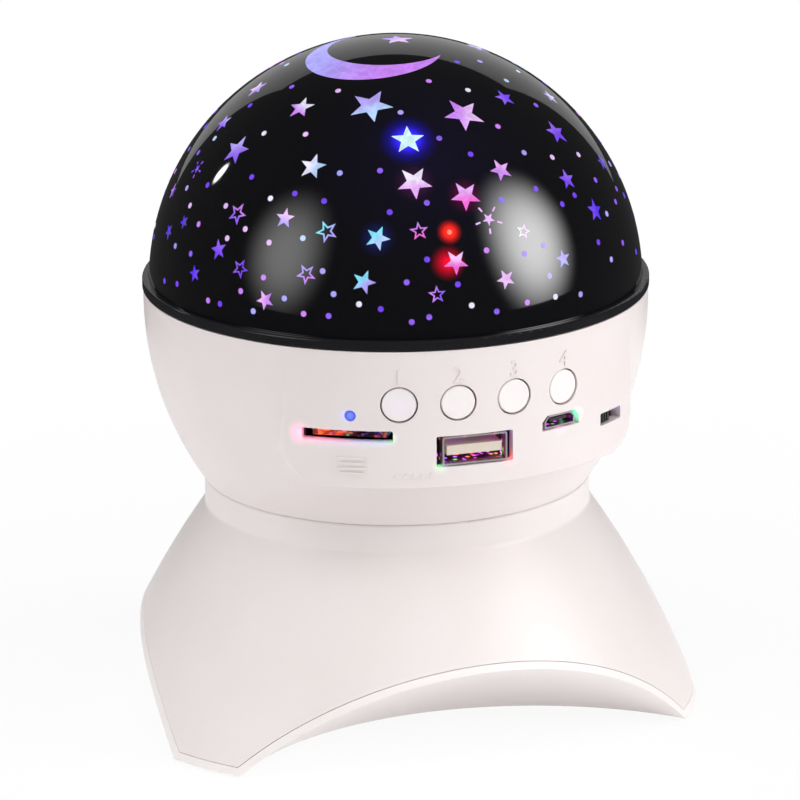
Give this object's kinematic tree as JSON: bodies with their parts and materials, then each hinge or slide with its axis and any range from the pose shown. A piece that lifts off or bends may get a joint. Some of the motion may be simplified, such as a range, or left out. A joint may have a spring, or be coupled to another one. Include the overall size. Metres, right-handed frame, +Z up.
{
  "type": "star night light projector",
  "caption": "Bedside star projector: white footed base and round housing with buttons and sockets, under a motor-turned black dome with star windows.",
  "frame": {"origin": "on the dome's axis at the table, under the flat middle of the bottom cover", "axes": "+Z up along the dome's axis; the control panel faces -Y, so +X is to the right seen from the front"},
  "size_m": [0.1108, 0.1105, 0.135],
  "materials": {
    "white_shell": "satin white ABS",
    "white_button": "satin white ABS",
    "black_gloss": "polished black ABS",
    "mask_black": "polished black film",
    "clear_dome": "clear polycarbonate",
    "black_matte": "moulded black",
    "foot_rubber": "soft white rubber",
    "screw_steel": "zinc plated",
    "socket_steel": "nickel plated sheet",
    "socket_tongue": "cream moulding",
    "charge_tongue": "black moulding",
    "gear_nylon": "natural nylon",
    "motor_can": "drawn steel",
    "cell_wrap": "shrink sleeve",
    "board_green": "lacquered board",
    "board_white": "white lacquer",
    "lamp_red": "clear epoxy",
    "lamp_green": "clear epoxy",
    "lamp_blue": "clear epoxy",
    "lamp_white": "clear epoxy",
    "indicator_blue": "clear light pipe",
    "speaker_paper": "paper cone",
    "magnet_steel": "plated",
    "lead_sheath": "insulated wire"
  },
  "bodies": {
    "housing": {"base_shell": "white_shell", "bottom_cover": "white_shell", "bowl_housing": "white_shell", "switch_housing": "black_matte", "deck_plate": "black_matte", "key_switches": "black_matte", "speaker_frame": "black_matte", "foot_pads": "foot_rubber", "cover_screws": "screw_steel", "bowl_screws": "screw_steel", "deck_screws": "screw_steel", "post_screws": "screw_steel", "board_screws": "screw_steel", "motor_screws": "screw_steel", "strap_screws": "screw_steel", "speaker_screws": "screw_steel", "battery_strap": "screw_steel", "usb_socket_shell": "socket_steel", "charge_socket_shell": "socket_steel", "card_socket": "socket_steel", "usb_socket_tongue": "socket_tongue", "charge_socket_tongue": "charge_tongue", "drive_motor": "motor_can", "battery_cell": "cell_wrap", "main_board": "board_green", "lamp_board": "board_white", "lamp_post": "board_white", "red_lamp": "lamp_red", "green_lamp": "lamp_green", "blue_lamp": "lamp_blue", "white_lamp": "lamp_white", "indicator_light": "indicator_blue", "speaker_cone": "speaker_paper", "speaker_magnet": "magnet_steel", "lamp_leads": "lead_sheath", "battery_leads": "lead_sheath", "motor_leads": "lead_sheath", "speaker_leads": "lead_sheath"},
    "dome": {"turntable": "black_gloss", "dome_bezel": "black_gloss", "dome_shell": "clear_dome", "star_mask": "mask_black"},
    "pinion": {"drive_pinion": "gear_nylon", "motor_shaft": "screw_steel"},
    "power_knob": {"switch_knob": "black_matte"},
    "far_left_button": {"button_far_left": "white_button"},
    "left_button": {"button_left": "white_button"},
    "right_button": {"button_right": "white_button"},
    "far_right_button": {"button_far_right": "white_button"}
  },
  "joints": [
    {"name": "dome_turn", "type": "hinge", "parent": "housing", "child": "dome", "pos_m": [0, 0, 0.0863], "axis": [0, 0, 1], "continuous": true},
    {"name": "pinion_turn", "type": "hinge", "parent": "housing", "child": "pinion", "pos_m": [0.02898, 0.00776, 0.083], "axis": [0, 0, 1], "continuous": true},
    {"name": "far_left_button_press", "type": "slide", "parent": "housing", "child": "far_left_button", "axis": [0.342, 0.9397, 0], "range_m": [0, 0.0008], "stiffness_N_per_m": 500, "springref_m": -0.0004},
    {"name": "left_button_press", "type": "slide", "parent": "housing", "child": "left_button", "axis": [0.1167, 0.9932, 0], "range_m": [0, 0.0008], "stiffness_N_per_m": 500, "springref_m": -0.0004},
    {"name": "right_button_press", "type": "slide", "parent": "housing", "child": "right_button", "axis": [-0.1149, 0.9934, 0], "range_m": [0, 0.0008], "stiffness_N_per_m": 500, "springref_m": -0.0004},
    {"name": "far_right_button_press", "type": "slide", "parent": "housing", "child": "far_right_button", "axis": [-0.3404, 0.9403, 0], "range_m": [0, 0.0008], "stiffness_N_per_m": 500, "springref_m": -0.0004},
    {"name": "power_slide", "type": "slide", "parent": "housing", "child": "power_knob", "axis": [0.8049, 0.5934, 0], "range_m": [0, 0.003]}
  ],
  "couplings": [
    {"joint": "pinion_turn", "follows": "dome_turn", "ratio": 6}
  ]
}
